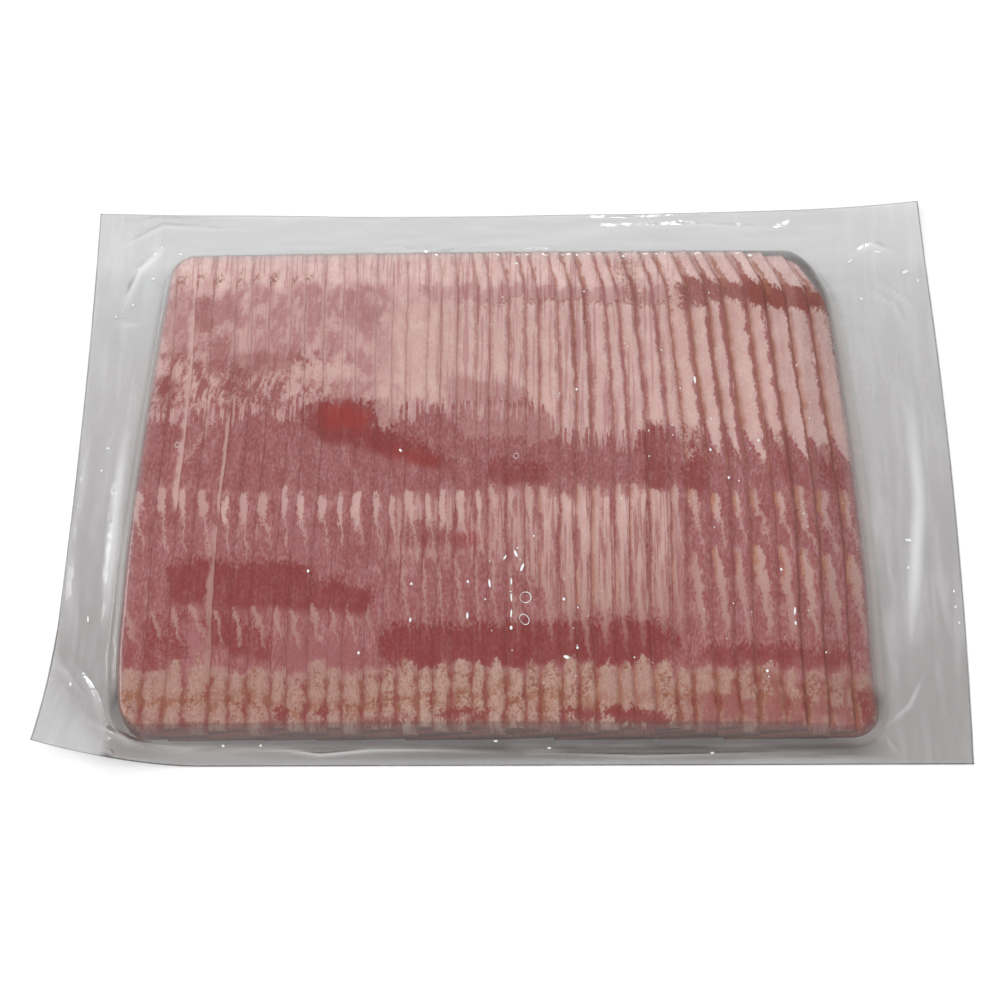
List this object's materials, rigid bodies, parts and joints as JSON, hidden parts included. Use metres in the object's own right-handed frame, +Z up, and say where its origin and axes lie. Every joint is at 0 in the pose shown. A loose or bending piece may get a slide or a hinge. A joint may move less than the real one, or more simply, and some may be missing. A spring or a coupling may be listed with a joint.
{
  "type": "bacon pack",
  "caption": "Flat vacuum pack of streaky bacon rashers, shingled in one long row inside clear film with a thin sealed flange all round.",
  "frame": {"origin": "centre of the pack's outline, on the surface it lies on", "axes": "+X along the row of rashers, each one lying over the next towards +X; +Y along each rasher, away from the side with the narrow flange; +Z up out of the shown face"},
  "size_m": [0.424, 0.3, 0.0293],
  "materials": {
    "bacon": "raw cured pork, moist, rose lean with pale fat, pressed flat under film",
    "clear_film": "thin clear vacuum film, glossy, slightly grey, wrinkled on the flange"
  },
  "bodies": {
    "root": {"sealed_pack": "bacon"}
  },
  "joints": []
}
